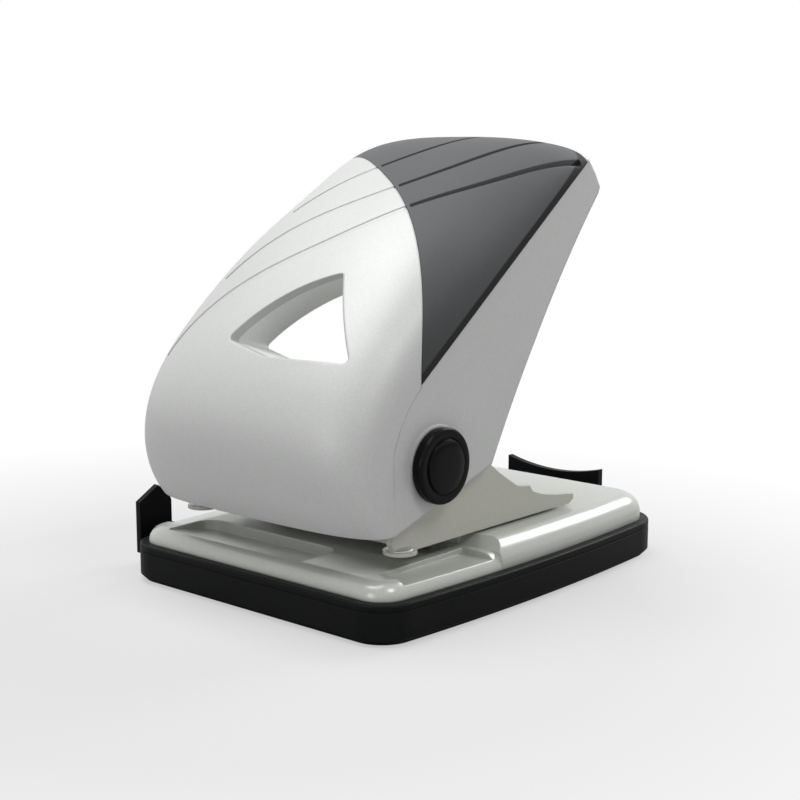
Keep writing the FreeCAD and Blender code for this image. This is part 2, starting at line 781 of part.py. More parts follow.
def lip_rounding():
    """What rounds off the pad's lower edge: the corner outside a quarter circle."""
    dy, dz = slope_line()
    length = math.hypot(dy, dz)

    def at(x, lift):
        return V(x, lip_front[0] - dy / 4 - dz / length * lift, lip_front[1] - dz / 4 + dy / length * lift)

    bend = lip_radius * (1 - math.sqrt(0.5))
    low, high = at(handle_half - lip_radius, 0), at(handle_half, lip_radius)
    arc = Part.Arc(low, at(handle_half - bend, bend), high).toShape()
    corners = [high, at(handle_half + 2, lip_radius), at(handle_half + 2, -1),
               at(handle_half - lip_radius, -1), low]
    face = Part.Face(Part.Wire([arc] + Part.makePolygon(corners).Edges))
    return face.extrude(V(0, dy, dz) * 2)


def grip_pad(outer, recess, keep):
    pad = outer.cut(recess).common(pad_region(pad_gap)).common(keep)
    for corner in both_sides(lip_rounding()):
        pad = pad.cut(corner)
    return pad


def lever_screws():
    """Screws from below, through the cross plate into the hood's bosses."""
    base, normal = lever_screw_frame()
    screws = []
    for side in (-1, 1):
        middle = base + V(side * lever_screw_x, 0, 0)
        shank = Part.makeCylinder(lever_screw_diameter / 2, sheet + lever_screw_depth, middle, normal)
        top = middle - normal * lever_screw_head_height
        head = Part.makeCylinder(lever_screw_head / 2, lever_screw_head_height, top, normal)
        head = head.cut(Part.makeCylinder(lever_screw_head / 5, lever_screw_head_height * 0.7, top, normal))
        screws.append(shank.fuse(head).removeSplitter())
    return screws


def press_lever():
    front, rear = lever_web_front, lever_web_rear
    base, normal = lever_screw_frame()
    up = (normal.y * sheet, normal.z * sheet)
    arm_outline = [(pivot_y - lever_boss_radius + 0.4, pivot_z + 3), front,
                   (front[0] + up[0], front[1] + up[1]), (rear[0] + up[0], rear[1] + up[1]), rear,
                   (bar_y + 4.8, bar_z + 28), (bar_y + 4.0, bar_z + 20),
                   (bar_y + lever_bar_radius - 0.6, bar_z + 3), (bar_y + 1, bar_z - lever_bar_radius + 0.2),
                   (pivot_y + 2, pivot_z - lever_boss_radius + 0.3)]
    arm = prism_x(arm_outline, lever_inner, lever_outer)
    arm = arm.fuse(rod_x(lever_boss_radius, lever_inner, lever_outer, pivot_y, pivot_z))
    arm = arm.fuse(rod_x(lever_bar_radius, lever_inner, lever_outer, bar_y, bar_z))
    web = prism_x([front, (front[0] + up[0], front[1] + up[1]), (rear[0] + up[0], rear[1] + up[1]), rear],
                  -lever_outer + 0.5, lever_outer - 0.5)
    lever = fuse_all(both_sides(arm.removeSplitter()) + [web])
    lever = lever.cut(rod_x(shaft_diameter / 2 + shaft_clearance, -60, 60, pivot_y, pivot_z))
    lever = lever.cut(rod_x(bar_radius + fixed_fit, -60, 60, bar_y, bar_z))
    for side in (-1, 1):
        middle = base + V(side * lever_screw_x, 0, 0) - normal
        lever = lever.cut(Part.makeCylinder(lever_screw_diameter / 2 + fixed_fit, 8, middle, normal))
    return lever


def press_bar():
    return rod_x(bar_radius, -lever_outer, lever_outer, bar_y, bar_z)


def pivot_shaft():
    shaft = rod_x(shaft_diameter / 2, -shaft_half, shaft_half, pivot_y, pivot_z)
    shaft = shaft.makeChamfer(0.4, [e for e in shaft.Edges if e.BoundBox.XLength < 1e-6])
    for side in (-1, 1):
        x0, x1 = sorted((side * clip_x, side * (clip_x + clip_thickness)))
        groove = rod_x(10, x0, x1, pivot_y, pivot_z)
        shaft = shaft.cut(groove.cut(rod_x(shaft_diameter / 2 - clip_groove, x0, x1, pivot_y, pivot_z)))
    return shaft


def shaft_clips():
    ring = rod_x(clip_diameter / 2, clip_x, clip_x + clip_thickness, pivot_y, pivot_z)
    ring = ring.cut(rod_x(shaft_diameter / 2 - clip_groove, clip_x - 1, clip_x + 2, pivot_y, pivot_z))
    mouth = box(clip_x - 1, clip_x + 2, pivot_y, pivot_y + 20, pivot_z - 2.6, pivot_z + 2.6)
    return Part.makeCompound(both_sides(ring.cut(mouth)))


def pivot_bearing():
    sleeve = rod_x(bearing_diameter / 2, panel_inner, handle_half, pivot_y, pivot_z)
    flange = rod_x(bearing_diameter / 2 + bearing_flange_step, panel_inner - bearing_flange,
                   panel_inner, pivot_y, pivot_z)
    bearing = sleeve.fuse(flange).removeSplitter()
    return bearing.cut(rod_x(shaft_diameter / 2 + shaft_clearance, 0, 90, pivot_y, pivot_z))


def pivot_cap():
    flange = rod_x(cap_diameter / 2, handle_half, handle_half + cap_flange, pivot_y, pivot_z)
    rim = [e for e in flange.Edges if e.BoundBox.XLength < 1e-6 and e.BoundBox.XMin > handle_half + 1]
    flange = flange.makeFillet(cap_edge_radius, rim)
    top_x = handle_half + cap_flange + cap_disc
    disc = rod_x(cap_diameter / 2 - cap_step, handle_half + 1, top_x, pivot_y, pivot_z)
    rim = [e for e in disc.Edges if e.BoundBox.XLength < 1e-6 and e.BoundBox.XMin > handle_half + 2]
    disc = disc.makeFillet(cap_disc_edge_radius, rim)
    cap = flange.fuse(disc).removeSplitter()
    cavity = rod_x(clip_diameter / 2 + clip_room, 0, top_x - cap_top_wall, pivot_y, pivot_z)
    return cap.cut(cavity)


# ---- paper side guide -----------------------------------------------------------------
def guide_bar():
    half = guide_width / 2
    return box(guide_outer_x, guide_inner_x, guide_y - half, guide_y + half,
               guide_z, guide_z + guide_thickness)


def guide_stop():
    corners = [(-11.5, -6.5), (4.5, -6.5), (4.5, 12.5), (3, 16), (-2, 19.5), (-11.5, 14)]
    outline = [(guide_y + y, guide_z + z) for y, z in corners]
    plate = prism_x(outline, guide_outer_x - stop_thickness, guide_outer_x)
    half = guide_width / 2 + stop_socket_wall
    socket = box(guide_outer_x, guide_outer_x + stop_socket, guide_y - half, guide_y + half,
                 guide_z - stop_socket_wall, guide_z + guide_thickness + stop_socket_wall)
    stop = plate.fuse(socket).removeSplitter()
    return stop.cut(guide_bar())


def guide_track():
    half = guide_width / 2 + guide_play
    top_z = deck_z - scoop_depth - hollow_skin
    outer = box(-track_half, track_half, guide_y - half - track_wall, track_rear_y, track_low_z, top_z)
    bore = box(-90, 90, guide_y - half, guide_y + half, guide_z - guide_play,
               guide_z + guide_thickness + guide_play)
    return outer.cut(bore)


# ---- every piece ----------------------------------------------------------------------
def build_all():
    outer = hood_solid(0)
    recess = hood_solid(skin)
    inner = hood_solid(shell_inset)
    keep = side_outline()
    shell = handle_shell(outer, recess, inner, keep)
    pad = grip_pad(outer, recess, keep)
    pad_layer = outer.cut(hood_solid(groove_depth)).common(pad_region(groove_end))
    hood_layer = outer.cut(hood_solid(hood_groove_depth)).cut(pad_region(0))
    for band in groove_bands():
        shell = shell.cut(hood_layer.common(band))
        pad = pad.cut(pad_layer.common(band))
    bearings = both_sides(pivot_bearing())
    caps = both_sides(pivot_cap())
    pieces = {
        "base_skirt": base_skirt(),
        "chip_tray": chip_tray(),
        "base_shell": base_shell(),
        "die_plate": die_plate(),
        "die_screws": Part.makeCompound(die_screws(0)),
        "punch_frame": punch_frame(),
        "frame_rivets": frame_rivets(),
        "pivot_shaft": pivot_shaft(),
        "shaft_clips": shaft_clips(),
        "handle_shell": shell,
        "grip_pad": pad,
        "window_sleeve": window_sleeve(inner),
        "press_lever": press_lever(),
        "press_bar": press_bar(),
        "lever_screws": Part.makeCompound(lever_screws()),
        "pivot_bearing_right": bearings[0],
        "pivot_bearing_left": bearings[1],
        "pivot_cap_right": caps[0],
        "pivot_cap_left": caps[1],
        "guide_track": guide_track(),
        "guide_bar": guide_bar(),
        "guide_stop": guide_stop(),
    }
    for name, side in (("left", -1), ("right", 1)):
        pieces["guide_bush_" + name] = guide_bush(side)
        pieces["punch_pin_" + name] = punch_pin(side)
        pieces["pin_collar_" + name] = pin_collar(side)
        pieces["return_spring_" + name] = return_spring(side)
    return pieces


os.makedirs("parts", exist_ok=True)
for node, shape in build_all().items():
    shape = shape.copy()
    shape.translate(V(0, -origin_y, 0))
    print(node, len(shape.Solids), shape.isValid(), round(shape.Volume, 1))
    shape.exportStep("parts/" + node + ".step")
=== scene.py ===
import math

import bmesh
import bpy
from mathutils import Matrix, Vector


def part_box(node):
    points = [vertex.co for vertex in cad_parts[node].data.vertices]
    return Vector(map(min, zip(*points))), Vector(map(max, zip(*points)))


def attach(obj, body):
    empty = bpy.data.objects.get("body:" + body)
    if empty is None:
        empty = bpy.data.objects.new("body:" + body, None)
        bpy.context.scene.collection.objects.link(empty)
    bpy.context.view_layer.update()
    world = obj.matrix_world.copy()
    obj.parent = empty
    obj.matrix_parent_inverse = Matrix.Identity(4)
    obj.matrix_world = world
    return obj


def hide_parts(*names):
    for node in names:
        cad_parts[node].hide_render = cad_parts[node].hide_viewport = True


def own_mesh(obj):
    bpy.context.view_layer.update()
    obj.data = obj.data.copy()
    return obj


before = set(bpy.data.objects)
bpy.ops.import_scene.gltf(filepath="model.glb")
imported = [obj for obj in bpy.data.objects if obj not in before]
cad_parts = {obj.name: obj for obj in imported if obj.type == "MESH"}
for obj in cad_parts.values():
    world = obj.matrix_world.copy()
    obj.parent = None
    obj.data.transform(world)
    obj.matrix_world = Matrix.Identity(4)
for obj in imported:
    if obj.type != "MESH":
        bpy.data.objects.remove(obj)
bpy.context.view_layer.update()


# ---- small helpers for node trees ------------------------------------------------------
def new_group(name, inputs, outputs):
    """An empty node group with named float, colour or vector sockets."""
    kinds = {"f": "NodeSocketFloat", "c": "NodeSocketColor", "v": "NodeSocketVector"}
    group = bpy.data.node_groups.new(name, "ShaderNodeTree")
    for socket_name, kind, value in inputs:
        socket = group.interface.new_socket(socket_name, in_out="INPUT", socket_type=kinds[kind])
        socket.default_value = value
    for socket_name, kind in outputs:
        group.interface.new_socket(socket_name, in_out="OUTPUT", socket_type=kinds[kind])
    return group, group.nodes.new("NodeGroupInput"), group.nodes.new("NodeGroupOutput")


def feed(tree, socket, value):
    """Writes a number on the socket, or links the socket to another node's output."""
    if isinstance(value, (int, float)):
        socket.default_value = value
    else:
        tree.links.new(value, socket)


def math_node(tree, kind, a, b, clamp=False):
    node = tree.nodes.new("ShaderNodeMath")
    node.operation = kind
    node.use_clamp = clamp
    feed(tree, node.inputs[0], a)
    feed(tree, node.inputs[1], b)
    return node.outputs[0]


def scaled(tree, value, factor, offset):
    return math_node(tree, "ADD", math_node(tree, "MULTIPLY", value, factor), offset)


def swing(tree, value, size):
    """Turns a value from nought to one into a swing of that size about nought."""
    return math_node(tree, "MULTIPLY", math_node(tree, "SUBTRACT", value, 0.5), size)


def dot_product(tree, a, b):
    node = tree.nodes.new("ShaderNodeVectorMath")
    node.operation = "DOT_PRODUCT"
    tree.links.new(a, node.inputs[0])
    tree.links.new(b, node.inputs[1])
    return node.outputs["Value"]


def object_place(tree):
    return tree.nodes.new("ShaderNodeTexCoord").outputs["Object"]


def noise(tree, place, scale, detail=2.0, roughness=0.5):
    node = tree.nodes.new("ShaderNodeTexNoise")
    node.inputs["Detail"].default_value = detail
    node.inputs["Roughness"].default_value = roughness
    feed(tree, node.inputs["Scale"], scale)
    tree.links.new(place, node.inputs["Vector"])
    return node.outputs["Fac"]


def ramp(tree, value, low, high, falling=False):
    """Runs from nought to one between two values, or from one to nought when falling."""
    node = tree.nodes.new("ShaderNodeMapRange")
    feed(tree, node.inputs["From Min"], low)
    feed(tree, node.inputs["From Max"], high)
    if falling:
        node.inputs["To Min"].default_value = 1.0
        node.inputs["To Max"].default_value = 0.0
    tree.links.new(value, node.inputs["Value"])
    return node.outputs["Result"]


# ---- shader groups shared by the finishes ----------------------------------------------
# pattern scales, in waves or cells per metre
FLAKE_SCALE, DRIFT_SCALE, SMEAR_SCALE, PEEL_SCALE = 2600, 22, 60, 420
RUB_SCALE = 45
SMEAR_ROUGHNESS = 0.08


def make_paint_group():
    """Metal flake, slow tone drift, smears and fine orange peel of sprayed silver paint."""
    group, source, sink = new_group(
        "silver_paint_detail",
        [("Flake", "f", 0.05), ("Drift", "f", 0.03), ("Base Rough", "f", 0.4)],
        [("Tone", "f"), ("Rough", "f"), ("Height", "f")])
    place = object_place(group)
    cells = group.nodes.new("ShaderNodeTexVoronoi")
    cells.inputs["Scale"].default_value = FLAKE_SCALE
    group.links.new(place, cells.inputs["Vector"])
    shades = group.nodes.new("ShaderNodeSeparateColor")
    group.links.new(cells.outputs["Color"], shades.inputs["Color"])
    flake = swing(group, shades.outputs[0], source.outputs["Flake"])
    drift = swing(group, noise(group, place, DRIFT_SCALE), source.outputs["Drift"])
    tone = math_node(group, "ADD", math_node(group, "ADD", flake, drift), 1.0)
    group.links.new(tone, sink.inputs["Tone"])
    smear = noise(group, place, SMEAR_SCALE, detail=4.0, roughness=0.6)
    rough = math_node(group, "ADD", source.outputs["Base Rough"],
                      swing(group, smear, SMEAR_ROUGHNESS))
    group.links.new(rough, sink.inputs["Rough"])
    group.links.new(noise(group, place, PEEL_SCALE, detail=1.0), sink.inputs["Height"])
    return group


def make_edge_group():
    """Rounded normals at edges, and a broken-up mask of where the edges are."""
    group, source, sink = new_group(
        "edge_wear",
        [("Width", "f", 0.0006), ("Breakup", "f", 300.0)],
        [("Edge", "f"), ("Normal", "v")])
    round_over = group.nodes.new("ShaderNodeBevel")
    round_over.samples = 6
    group.links.new(source.outputs["Width"], round_over.inputs["Radius"])
    flat = group.nodes.new("ShaderNodeNewGeometry").outputs["Normal"]
    bent = math_node(group, "SUBTRACT", 1.0, dot_product(group, round_over.outputs[0], flat))
    broken = noise(group, object_place(group), source.outputs["Breakup"], detail=3.0)
    edge = math_node(group, "MULTIPLY", ramp(group, bent, 0.04, 0.3),
                     ramp(group, broken, 0.42, 0.62), clamp=True)
    group.links.new(edge, sink.inputs["Edge"])
    group.links.new(round_over.outputs[0], sink.inputs["Normal"])
    return group


def make_mould_group():
    """Fine spark-eroded grain, rub marks and a little dust of moulded parts."""
    group, source, sink = new_group(
        "moulded_grain",
        [("Grain Scale", "f", 2200.0)],
        [("Tone", "f"), ("Rub", "f"), ("Height", "f")])
    place = object_place(group)
    grain = noise(group, place, source.outputs["Grain Scale"])
    group.links.new(grain, sink.inputs["Height"])
    cloud = noise(group, place, RUB_SCALE, detail=4.0, roughness=0.65)
    group.links.new(ramp(group, cloud, 0.35, 0.75), sink.inputs["Rub"])
    mottle = math_node(group, "ADD", math_node(group, "MULTIPLY", grain, 0.25),
                       math_node(group, "MULTIPLY", cloud, 0.25))
    group.links.new(math_node(group, "ADD", mottle, 0.75), sink.inputs["Tone"])
    return group


def make_crevice_group():
    """A mask of narrow grooves and seams for painted shade: one where ambient occlusion is deep.
    """
    group, source, sink = new_group(
        "crevice",
        [("Reach", "f", 0.0015), ("Open", "f", 0.75)],
        [("Mask", "f")])
    shade = group.nodes.new("ShaderNodeAmbientOcclusion")
    shade.samples = 8
    group.links.new(source.outputs["Reach"], shade.inputs["Distance"])
    mask = ramp(group, shade.outputs["AO"], 0.3, source.outputs["Open"], falling=True)
    group.links.new(mask, sink.inputs["Mask"])
    return group


def make_band_group():
    """A mask that falls from one to nought with distance along a direction."""
    group, source, sink = new_group(
        "slope_band",
        [("Direction", "v", (0, 0, 1)), ("Offset", "f", 0.0),
         ("Full", "f", 0.0), ("None", "f", 0.002)],
        [("Mask", "f")])
    along = dot_product(group, object_place(group), source.outputs["Direction"])
    gap = math_node(group, "SUBTRACT", along, source.outputs["Offset"])
    mask = ramp(group, gap, source.outputs["Full"], source.outputs["None"], falling=True)
    group.links.new(mask, sink.inputs["Mask"])
    return group


paint_group = make_paint_group()
edge_group = make_edge_group()
mould_group = make_mould_group()
crevice_group = make_crevice_group()
band_group = make_band_group()

# ---- finishes --------------------------------------------------------------------------
# the grip pad's lower edge in side view: its upward direction and a point on it
LIP_UP = (0.0, -0.6085, 0.7936)
LIP_EDGE_Y, LIP_EDGE_Z = 0.0259, 0.0835
LIP_OFFSET = LIP_UP[1] * LIP_EDGE_Y + LIP_UP[2] * LIP_EDGE_Z
# painted shade colours for the pad: its lower lip, which faces down, its grooves and seams, and
# its low tip
LIP_SHADE, GROOVE_SHADE = (0.005, 0.005, 0.0045), (0.004, 0.004, 0.004)
PAD_TIP_SHADE = (0.024, 0.026, 0.025)
RUB_ROUGHNESS = 0.12


def start_material(name):
    material = bpy.data.materials.new(name)
    material.use_nodes = True
    tree = material.node_tree
    tree.nodes.clear()
    out = tree.nodes.new("ShaderNodeOutputMaterial")
    shader = tree.nodes.new("ShaderNodeBsdfPrincipled")
    tree.links.new(shader.outputs[0], out.inputs["Surface"])
    return material, tree, shader


def place_group(tree, group, **values):
    """Places a group; a keyword's underscores stand for the spaces of a socket's name."""
    node = tree.nodes.new("ShaderNodeGroup")
    node.node_tree = group
    for key, value in values.items():
        node.inputs[key.replace("_", " ").strip()].default_value = value
    return node


def tinted(tree, colour, tone):
    """A plain colour made lighter and darker by a value near one."""
    node = tree.nodes.new("ShaderNodeMix")
    node.data_type = "RGBA"
    node.blend_type = "MULTIPLY"
    node.inputs["Factor"].default_value = 1.0
    node.inputs[6].default_value = (*colour, 1)
    tree.links.new(tone, node.inputs[7])
    return node.outputs[2]


def overlaid(tree, body, colour, mask):
    """The body's varying colour with a plain colour laid over it where the mask is one."""
    node = tree.nodes.new("ShaderNodeMix")
    node.data_type = "RGBA"
    tree.links.new(mask, node.inputs["Factor"])
    tree.links.new(body, node.inputs[6])
    node.inputs[7].default_value = (*colour, 1)
    return node.outputs[2]


def bumped(tree, height, strength, distance, normal):
    node = tree.nodes.new("ShaderNodeBump")
    node.inputs["Strength"].default_value = strength
    node.inputs["Distance"].default_value = distance
    tree.links.new(height, node.inputs["Height"])
    tree.links.new(normal, node.inputs["Normal"])
    return node.outputs["Normal"]


def silver_paint(name, colour, rough, edge_width, worn):
    material, tree, shader = start_material(name)
    detail = place_group(tree, paint_group, Flake=0.09, Drift=0.05, Base_Rough=rough)
    edge = place_group(tree, edge_group, Width=edge_width, Breakup=260.0)
    body = tinted(tree, colour, detail.outputs["Tone"])
    body = overlaid(tree, body, worn, math_node(tree, "MULTIPLY", edge.outputs["Edge"], 0.35))
    tree.links.new(body, shader.inputs["Base Color"])
    tree.links.new(detail.outputs["Rough"], shader.inputs["Roughness"])
    shader.inputs["Metallic"].default_value = 0.12
    shader.inputs["Coat Weight"].default_value = 0.08
    shader.inputs["Coat Roughness"].default_value = 0.3
    peel = bumped(tree, detail.outputs["Height"], strength=0.12, distance=0.0002,
                  normal=edge.outputs["Normal"])
    tree.links.new(peel, shader.inputs["Normal"])
    return material


def moulded(name, colour, rough, grain_scale, grain_depth, edge_width, dusty, shine, coat=0.0):
    material, tree, shader = start_material(name)
    grain = place_group(tree, mould_group, Grain_Scale=grain_scale)
    edge = place_group(tree, edge_group, Width=edge_width, Breakup=180.0)
    body = tinted(tree, colour, grain.outputs["Tone"])
    body = overlaid(tree, body, dusty, math_node(tree, "MULTIPLY", grain.outputs["Rub"], 0.12))
    body = overlaid(tree, body, dusty, math_node(tree, "MULTIPLY", edge.outputs["Edge"], 0.4))
    tree.links.new(body, shader.inputs["Base Color"])
    rubbed = scaled(tree, grain.outputs["Rub"], RUB_ROUGHNESS, rough - RUB_ROUGHNESS / 2)
    tree.links.new(rubbed, shader.inputs["Roughness"])
    shader.inputs["Specular IOR Level"].default_value = shine
    shader.inputs["Coat Weight"].default_value = coat
    shader.inputs["Coat Roughness"].default_value = 0.12
    texture = bumped(tree, grain.outputs["Height"], strength=0.35, distance=grain_depth,
                     normal=edge.outputs["Normal"])
    tree.links.new(texture, shader.inputs["Normal"])
    return material


def add_pad_shade(material):
    """Painted shade on the pad: darker towards its low tip, black along its lower lip, which faces
    down, and black in its grooves and seams.
    """
    tree = material.node_tree
    shader = tree.nodes["Principled BSDF"]
    body = shader.inputs["Base Color"].links[0].from_socket
    # painted shade: the pad darker towards its low tip
    low = place_group(tree, band_group, Direction=(0, 0, 1), Offset=0.0, Full=0.075, None_=0.135)
    body = overlaid(tree, body, PAD_TIP_SHADE,
                    math_node(tree, "MULTIPLY", low.outputs["Mask"], 0.85))
    # painted shade along the lower lip, which faces down, on the right side only
    lip = place_group(tree, band_group, Direction=LIP_UP, Offset=LIP_OFFSET,
                      Full=0.0033, None_=0.0040)
    right_side = place_group(tree, band_group, Direction=(-1, 0, 0), Offset=0.0,
                             Full=0.0, None_=0.03)
    lip_shade_mask = math_node(tree, "MULTIPLY", lip.outputs["Mask"], right_side.outputs["Mask"])
    body = overlaid(tree, body, LIP_SHADE, lip_shade_mask)
    # painted shade in the grooves and seams, where ambient occlusion is deep
    groove_shade = place_group(tree, crevice_group, Reach=0.0016, Open=0.8)
    body = overlaid(tree, body, GROOVE_SHADE, groove_shade.outputs["Mask"])
    tree.links.new(body, shader.inputs["Base Color"])


def bare_steel(name, colour, rough, stretch):
    """Turned or ground steel: fine lines that run round or along the piece."""
    material, tree, shader = start_material(name)
    mapping = tree.nodes.new("ShaderNodeMapping")
    mapping.inputs["Scale"].default_value = stretch
    tree.links.new(object_place(tree), mapping.inputs["Vector"])
    lines = noise(tree, mapping.outputs["Vector"], 1.0, detail=5.0, roughness=0.6)
    edge = place_group(tree, edge_group, Width=0.0003, Breakup=400.0)
    body = tinted(tree, colour, scaled(tree, lines, 0.3, 0.85))
    tree.links.new(body, shader.inputs["Base Color"])
    tree.links.new(scaled(tree, lines, 0.25, rough - 0.12), shader.inputs["Roughness"])
    shader.inputs["Metallic"].default_value = 1.0
    grind = bumped(tree, lines, strength=0.2, distance=0.00005, normal=edge.outputs["Normal"])
    tree.links.new(grind, shader.inputs["Normal"])
    return material


hood_silver = silver_paint("hood_silver", colour=(0.56, 0.57, 0.56), rough=0.5,
                           edge_width=0.0012, worn=(0.42, 0.43, 0.42))
# the hood's paint made lighter: painted light for the light that bounces round inside the window
sleeve_lit_silver = silver_paint("sleeve_lit_silver", colour=(0.80, 0.81, 0.80), rough=0.5,
                             edge_width=0.0006, worn=(0.7, 0.7, 0.7))
base_silver = silver_paint("base_silver", colour=(0.52, 0.54, 0.50), rough=0.24,
                           edge_width=0.0008, worn=(0.4, 0.4, 0.4))
frame_grey = silver_paint("frame_grey", colour=(0.50, 0.50, 0.44), rough=0.40,
                          edge_width=0.0004, worn=(0.5, 0.5, 0.48))
pad_rubber = moulded("pad_rubber", colour=(0.092, 0.094, 0.098), rough=0.6,
                     grain_scale=1500.0, grain_depth=0.0002, edge_width=0.0006,
                     dusty=(0.15, 0.15, 0.15), shine=0.22)
add_pad_shade(pad_rubber)
skirt_black = moulded("skirt_black", colour=(0.004, 0.005, 0.0045), rough=0.45,
                      grain_scale=2400.0, grain_depth=0.00012, edge_width=0.0005,
                      dusty=(0.02, 0.02, 0.019), shine=0.08)
cap_black = moulded("cap_black", colour=(0.003, 0.0035, 0.003), rough=0.2,
                    grain_scale=3000.0, grain_depth=0.00002, edge_width=0.0004,
                    dusty=(0.008, 0.008, 0.008), shine=0.08, coat=0.035)
ground_steel = bare_steel("ground_steel", colour=(0.56, 0.56, 0.55), rough=0.34,
                          stretch=(300, 4000, 4000))
turned_steel = bare_steel("turned_steel", colour=(0.58, 0.58, 0.57), rough=0.3,
                          stretch=(500, 500, 6000))

# the pieces not named here, such as pins, screws and rivets, are turned steel
finish_of = {
    "handle_shell": hood_silver, "window_sleeve": sleeve_lit_silver, "base_shell": base_silver,
    "punch_frame": frame_grey, "grip_pad": pad_rubber, "base_skirt": skirt_black,
    "chip_tray": skirt_black, "guide_bar": skirt_black, "guide_stop": skirt_black,
    "guide_track": skirt_black, "pivot_cap_left": cap_black, "pivot_cap_right": cap_black,
    "pivot_bearing_left": skirt_black, "pivot_bearing_right": skirt_black,
    "press_lever": ground_steel, "press_bar": ground_steel, "pivot_shaft": ground_steel,
    "die_plate": ground_steel, "shaft_clips": ground_steel,
}
for name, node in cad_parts.items():
    finish = finish_of.get(name, turned_steel)
    for slot in node.material_slots:
        slot.link = "OBJECT"
        slot.material = finish

# ---- pieces modelled here, with sizes in metres and angles in radians --------------------
SHARP_ANGLE, SMOOTH_ANGLE = 0.6, 0.7

PIVOT_Y, PIVOT_Z, HOOD_SIDE_X = 0.0334, 0.0554, 0.057
BUTTON_RADIUS, BUTTON_DEPTH, BUTTON_ROUNDING = 0.0134, 0.0042, 0.0011
BUTTON_RIM, GROOVE_WIDTH, GROOVE_DEPTH = 0.0023, 0.0006, 0.0004
DOME_STEP, DOME_SLOPE, DOME_RISE = 0.0009, 0.0035, 0.0003

FOOT_X, FOOT_Y, FOOT_TOP_Z = 0.05075, 0.0213, 0.02675
STUD_RADIUS, STUD_DEPTH = 0.0048, 0.0004
STUD_SLOPES = ((0.0014, 0.0004), (0.0018, 0.00015))

PIN_X, PIN_Y, PIN_TRAVEL = 0.040, 0.0469, 0.0092345
SPRING_WIRE, SPRING_RADIUS, SPRING_TURNS = 0.001, 0.0043, 6
WIRE_SIDES, STEPS_PER_TURN = 14, 30

RIB_CENTRE_Y, RIB_ROOT_Z = 0.079, 0.0009
RIB_LENGTH_X, RIB_LENGTH_Y = 0.1, 0.13
RIB_CORNER, RIB_WIDTH, RIB_HEIGHT = 0.012, 0.0014, 0.0007


def clear_selection():
    if bpy.context.object and bpy.context.object.mode != "OBJECT":
        bpy.ops.object.mode_set(mode="OBJECT")
    bpy.ops.object.select_all(action="DESELECT")


def fix_place():
    """Moves the piece's place, turn and scale into its mesh."""
    bpy.ops.object.transform_apply(location=True, rotation=True, scale=True)


def open_faces(piece, wanted):
    """Edit mode with only the faces that pass the test selected."""
    bpy.context.view_layer.objects.active = piece
    bpy.ops.object.mode_set(mode="EDIT")
    bpy.ops.mesh.select_mode(type="FACE")
    bpy.ops.mesh.select_all(action="DESELECT")
    mesh = bmesh.from_edit_mesh(piece.data)
    for face in mesh.faces:
        face.select = wanted(face)
    mesh.select_flush(True)
    bmesh.update_edit_mesh(piece.data)


def inset(width):
    bpy.ops.mesh.inset(thickness=width, use_even_offset=True)


def push(x=0.0, z=0.0):
    bpy.ops.mesh.extrude_region_move(TRANSFORM_OT_translate={"value": (x, 0.0, z)})


def shift(x=0.0, z=0.0):
    bpy.ops.transform.translate(value=(x, 0, z))


def round_edges(piece, width, segments, angle=SHARP_ANGLE):
    rounding = piece.modifiers.new("rounding", "BEVEL")
    rounding.width = width
    rounding.segments = segments
    rounding.limit_method = "ANGLE"
    rounding.angle_limit = angle
    bpy.ops.object.modifier_apply(modifier="rounding")


def finish_piece(piece, name, body, material, edge, angle=SHARP_ANGLE):
    """Turns the faces outwards, rounds the hard edges and hands the piece over."""
    bpy.ops.mesh.select_all(action="SELECT")
    bpy.ops.mesh.normals_make_consistent(inside=False)
    bpy.ops.object.mode_set(mode="OBJECT")
    piece.name = name
    if edge:
        round_edges(piece, edge, 3, angle)
    bpy.ops.object.shade_smooth_by_angle(angle=SMOOTH_ANGLE)
    piece.data.materials.clear()
    piece.data.materials.append(material)
    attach(piece, body)
    piece.select_set(False)


def pivot_button(side, word):
    """The round black button over the pivot: a drum, a ring groove and a low dome."""
    clear_selection()
    bpy.ops.mesh.primitive_cylinder_add(
        vertices=128, radius=BUTTON_RADIUS, depth=BUTTON_DEPTH, rotation=(0, math.pi / 2, 0),
        location=(side * (HOOD_SIDE_X + BUTTON_DEPTH / 2), PIVOT_Y, PIVOT_Z))
    piece = bpy.context.object
    fix_place()
    round_edges(piece, BUTTON_ROUNDING, 5)
    open_faces(piece, lambda face: face.normal.x * side > 0.999)
    inset(BUTTON_RIM)
    push(x=-side * GROOVE_DEPTH)
    inset(GROOVE_WIDTH)
    push(x=side * DOME_STEP)
    inset(DOME_SLOPE)
    shift(x=side * DOME_RISE)
    finish_piece(piece, "pivot_button_" + word, "handle", cap_black, 0.00016)
    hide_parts("pivot_cap_" + word)


def frame_foot_stud(side, word):
    """A low bright stud head on the frame's front foot."""
    clear_selection()
    bpy.ops.mesh.primitive_cylinder_add(
        vertices=48, radius=STUD_RADIUS, depth=STUD_DEPTH,
        location=(side * FOOT_X, FOOT_Y, FOOT_TOP_Z + STUD_DEPTH / 2))
    piece = bpy.context.object
    fix_place()
    open_faces(piece, lambda face: face.normal.z > 0.9)
    for width, rise in STUD_SLOPES:
        inset(width)
        shift(z=rise)
    finish_piece(piece, "frame_stud_" + word, "base", ground_steel, 0.00015, 0.3)


